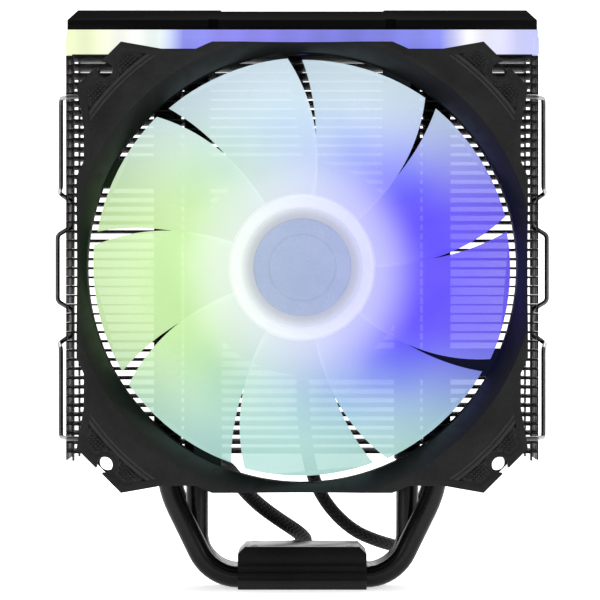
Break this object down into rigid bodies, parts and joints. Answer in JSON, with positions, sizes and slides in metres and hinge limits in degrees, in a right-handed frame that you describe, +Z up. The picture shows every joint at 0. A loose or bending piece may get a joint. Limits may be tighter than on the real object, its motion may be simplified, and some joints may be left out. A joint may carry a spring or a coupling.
{
  "type": "cpu tower cooler",
  "caption": "Processor tower cooler: heat pipes through a stack of flat fins, a light strip and cover on top, and an axial fan with lit translucent blades held by wire clips.",
  "frame": {"origin": "centre of the contact face under the cold plate, which rests on the processor", "axes": "+Z up along the tower, away from the processor; the fan is on the -Y side and blows towards +Y; +X is to the right of someone who looks at the fan"},
  "size_m": [0.1348, 0.1611, 0.1572],
  "materials": {
    "pipe_black": "satin",
    "plate_black": "satin",
    "block_black": "satin",
    "fin_black": "satin",
    "tray_plastic": "matte",
    "boot_rubber": "matte",
    "screw_steel": "satin",
    "board_green": "satin",
    "light_lens": "gloss",
    "frosted_band": "satin",
    "cover_plastic": "satin",
    "pad_rubber": "matte",
    "frame_plastic": "matte",
    "label_paper": "satin",
    "milky_plastic": "satin",
    "cap_grey": "matte",
    "ring_steel": "satin",
    "magnet_rubber": "matte",
    "shaft_steel": "polished",
    "washer_plastic": "satin",
    "bearing_bronze": "satin",
    "core_steel": "satin",
    "copper_wire": "gloss",
    "clip_steel": "polished",
    "cable_sleeve": "matte",
    "plug_plastic": "satin",
    "tie_plastic": "satin"
  },
  "bodies": {
    "cooler": {"base_block": "block_black", "bearing_sleeve": "bearing_bronze", "board_screws": "screw_steel", "cable_tie": "tie_plastic", "cold_plate": "plate_black", "fan_cable": "cable_sleeve", "fan_cable_coil": "cable_sleeve", "fan_cable_gland": "boot_rubber", "fan_frame": "frame_plastic", "fan_label": "label_paper", "fan_plug": "plug_plastic", "fin_stack": "fin_black", "front_pad_lower_left": "pad_rubber", "front_pad_lower_right": "pad_rubber", "front_pad_upper_left": "pad_rubber", "front_pad_upper_right": "pad_rubber", "heat_pipe_front_inner": "pipe_black", "heat_pipe_front_outer": "pipe_black", "heat_pipe_rear_inner": "pipe_black", "heat_pipe_rear_outer": "pipe_black", "light_band": "frosted_band", "light_board_front": "board_green", "light_board_rear": "board_green", "light_cable": "cable_sleeve", "light_cable_coil": "cable_sleeve", "light_cable_grommet": "boot_rubber", "light_plug": "plug_plastic", "light_tray": "tray_plastic", "lights_front": "light_lens", "lights_rear": "light_lens", "motor_board": "board_green", "motor_lights": "light_lens", "rear_pad_lower_left": "pad_rubber", "rear_pad_lower_right": "pad_rubber", "rear_pad_upper_left": "pad_rubber", "rear_pad_upper_right": "pad_rubber", "stator_core": "core_steel", "stator_windings": "copper_wire", "thrust_washer": "washer_plastic", "top_cover": "cover_plastic"},
    "fan_rotor": {"impeller": "milky_plastic", "hub_cap": "cap_grey", "rotor_back_iron": "ring_steel", "rotor_magnet": "magnet_rubber", "rotor_shaft": "shaft_steel"},
    "left_clip_body": {"left_clip": "clip_steel"},
    "right_clip_body": {"right_clip": "clip_steel"}
  },
  "joints": [
    {"name": "fan_spin", "type": "hinge", "parent": "cooler", "child": "fan_rotor", "pos_m": [0, -0.038, 0.0874], "axis": [0, 1, 0], "continuous": true},
    {"name": "left_clip_swing", "type": "hinge", "parent": "cooler", "child": "left_clip_body", "pos_m": [-0.054, -0.04, 0.0874], "axis": [0, 0, 1], "range_deg": [0, 60]},
    {"name": "right_clip_swing", "type": "hinge", "parent": "cooler", "child": "right_clip_body", "pos_m": [0.054, -0.04, 0.0874], "axis": [0, 0, -1], "range_deg": [0, 60]}
  ]
}
